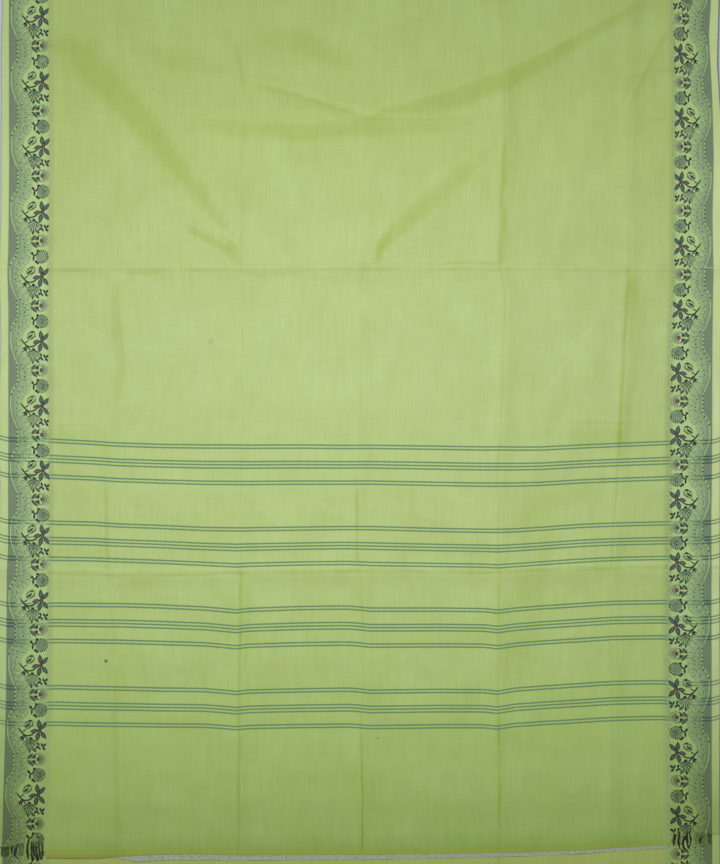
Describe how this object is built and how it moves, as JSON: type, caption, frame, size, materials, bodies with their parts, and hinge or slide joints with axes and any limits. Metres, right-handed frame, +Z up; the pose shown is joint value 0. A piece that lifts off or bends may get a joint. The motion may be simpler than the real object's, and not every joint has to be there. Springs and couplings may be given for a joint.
{
  "type": "folded cotton sari",
  "caption": "Long light green handloom cotton sari laid back and forth in flat layers, outer end uppermost, with flowered side borders, weft stripes and a short yarn fringe.",
  "frame": {"origin": "middle of the folded cloth's outline, on the surface it lies on", "axes": "+X across the cloth to the picture's right, +Y along the cloth to the picture's top, away from the fringed outer end, +Z up from the surface"},
  "size_m": [1.1318, 1.395, 0.0159],
  "materials": {
    "cotton": "matte light green handloom cotton with faint streaks",
    "border_yarn": "matte dark grey-green cotton yarn",
    "bare_warp": "matte pale unwoven warp yarn"
  },
  "bodies": {
    "root": {"sari_cloth": "cotton", "fringe_left": "border_yarn", "fringe_middle": "bare_warp", "fringe_right": "border_yarn"}
  },
  "joints": []
}
